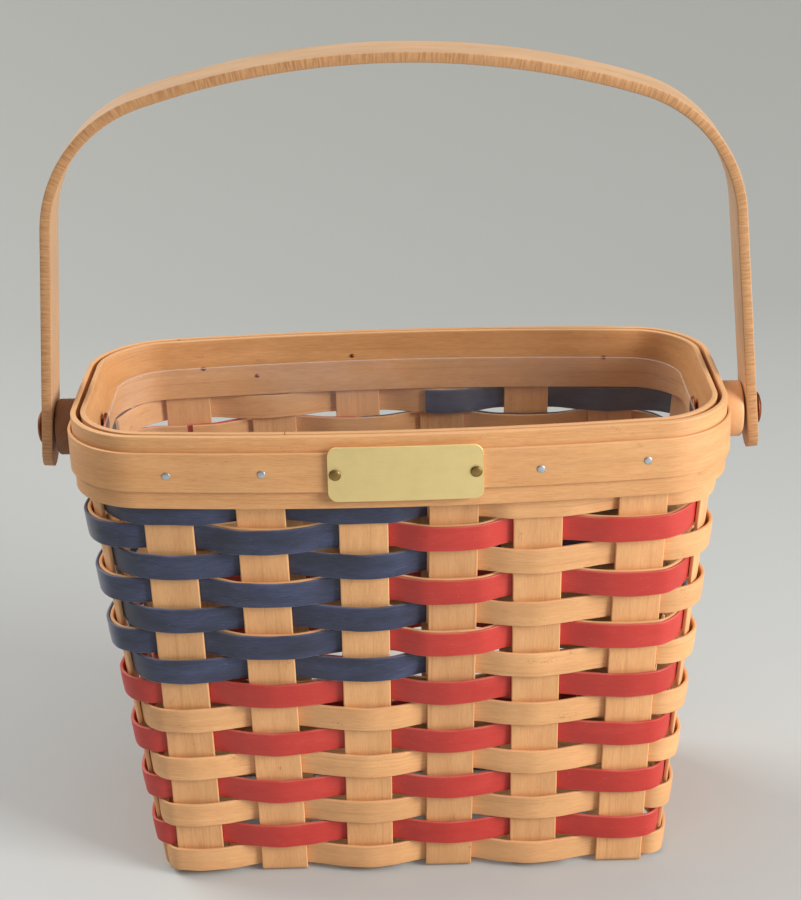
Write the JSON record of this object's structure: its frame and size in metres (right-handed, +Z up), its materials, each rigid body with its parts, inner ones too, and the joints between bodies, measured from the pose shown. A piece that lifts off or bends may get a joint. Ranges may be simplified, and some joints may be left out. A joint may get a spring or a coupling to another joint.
{
  "type": "woven splint basket",
  "caption": "Oblong woven wood splint basket with flared walls, dyed stripes, a banded rim, a swinging bent-wood handle and a clear plastic liner.",
  "frame": {"origin": "middle of the base on the floor, under the middle of the object's box", "axes": "+X along the basket's length to the right seen from the front, -Y out of the front face with the brass plate, +Z up"},
  "size_m": [0.2456, 0.1071, 0.2801],
  "materials": {
    "splint_natural": "thin maple splint with a light clear stain",
    "splint_blue": "splint dyed dark blue, pale at the cut edges",
    "splint_red": "splint dyed red, pale at the cut edges",
    "rim_wood": "bent rim band with a satin stain",
    "handle_wood": "steam-bent hardwood with a satin stain",
    "brass_plate": "satin brass, bare",
    "copper_rivet": null,
    "liner_clear": "thin clear moulded plastic"
  },
  "bodies": {
    "basket": {"stake_long_1": "splint_natural", "stake_long_2": "splint_natural", "stake_long_3": "splint_natural", "stake_long_4": "splint_natural", "stake_long_5": "splint_natural", "stake_long_6": "splint_natural", "stake_cross_front": "splint_natural", "stake_cross_middle": "splint_natural", "stake_cross_back": "splint_natural", "weaver_01": "splint_natural", "weaver_02": "splint_red", "weaver_03": "splint_natural", "weaver_04": "splint_red", "weaver_05": "splint_natural", "weaver_06": "splint_red", "weaver_07": "splint_natural", "weaver_08": "splint_red", "weaver_09_blue_front": "splint_blue", "weaver_09_plain_front": "splint_natural", "weaver_09_blue_back": "splint_blue", "weaver_09_plain_back": "splint_natural", "weaver_10_plain": "splint_natural", "weaver_10_blue_front": "splint_blue", "weaver_10_red_front": "splint_red", "weaver_10_blue_back": "splint_blue", "weaver_10_red_back": "splint_red", "weaver_11_blue_front": "splint_blue", "weaver_11_plain_front": "splint_natural", "weaver_11_blue_back": "splint_blue", "weaver_11_plain_back": "splint_natural", "weaver_12_plain": "splint_natural", "weaver_12_blue_front": "splint_blue", "weaver_12_red_front": "splint_red", "weaver_12_blue_back": "splint_blue", "weaver_12_red_back": "splint_red", "weaver_13_blue_front": "splint_blue", "weaver_13_plain_front": "splint_natural", "weaver_13_blue_back": "splint_blue", "weaver_13_plain_back": "splint_natural", "weaver_14_plain": "splint_natural", "weaver_14_blue_front": "splint_blue", "weaver_14_red_front": "splint_red", "weaver_14_blue_back": "splint_blue", "weaver_14_red_back": "splint_red", "weaver_15_blue_front": "splint_blue", "weaver_15_plain_front": "splint_natural", "weaver_15_blue_back": "splint_blue", "weaver_15_plain_back": "splint_natural", "rim_inner_band": "rim_wood", "rim_outer_band": "rim_wood", "rim_trim_band": "rim_wood", "name_plate": "brass_plate", "plate_pin_left": "brass_plate", "plate_pin_right": "brass_plate", "spacer_left": "rim_wood", "spacer_right": "rim_wood", "rivet_left": "copper_rivet", "rivet_right": "copper_rivet"},
    "handle": {"handle": "handle_wood"},
    "liner": {"liner": "liner_clear"}
  },
  "joints": [
    {"name": "handle_swing", "type": "hinge", "parent": "basket", "child": "handle", "pos_m": [0, 0, 0.154], "axis": [1, 0, 0], "range_deg": [-150, 150]},
    {"name": "liner_lift", "type": "slide", "parent": "basket", "child": "liner", "axis": [0, 0, 1], "range_m": [0, 0.085]}
  ]
}
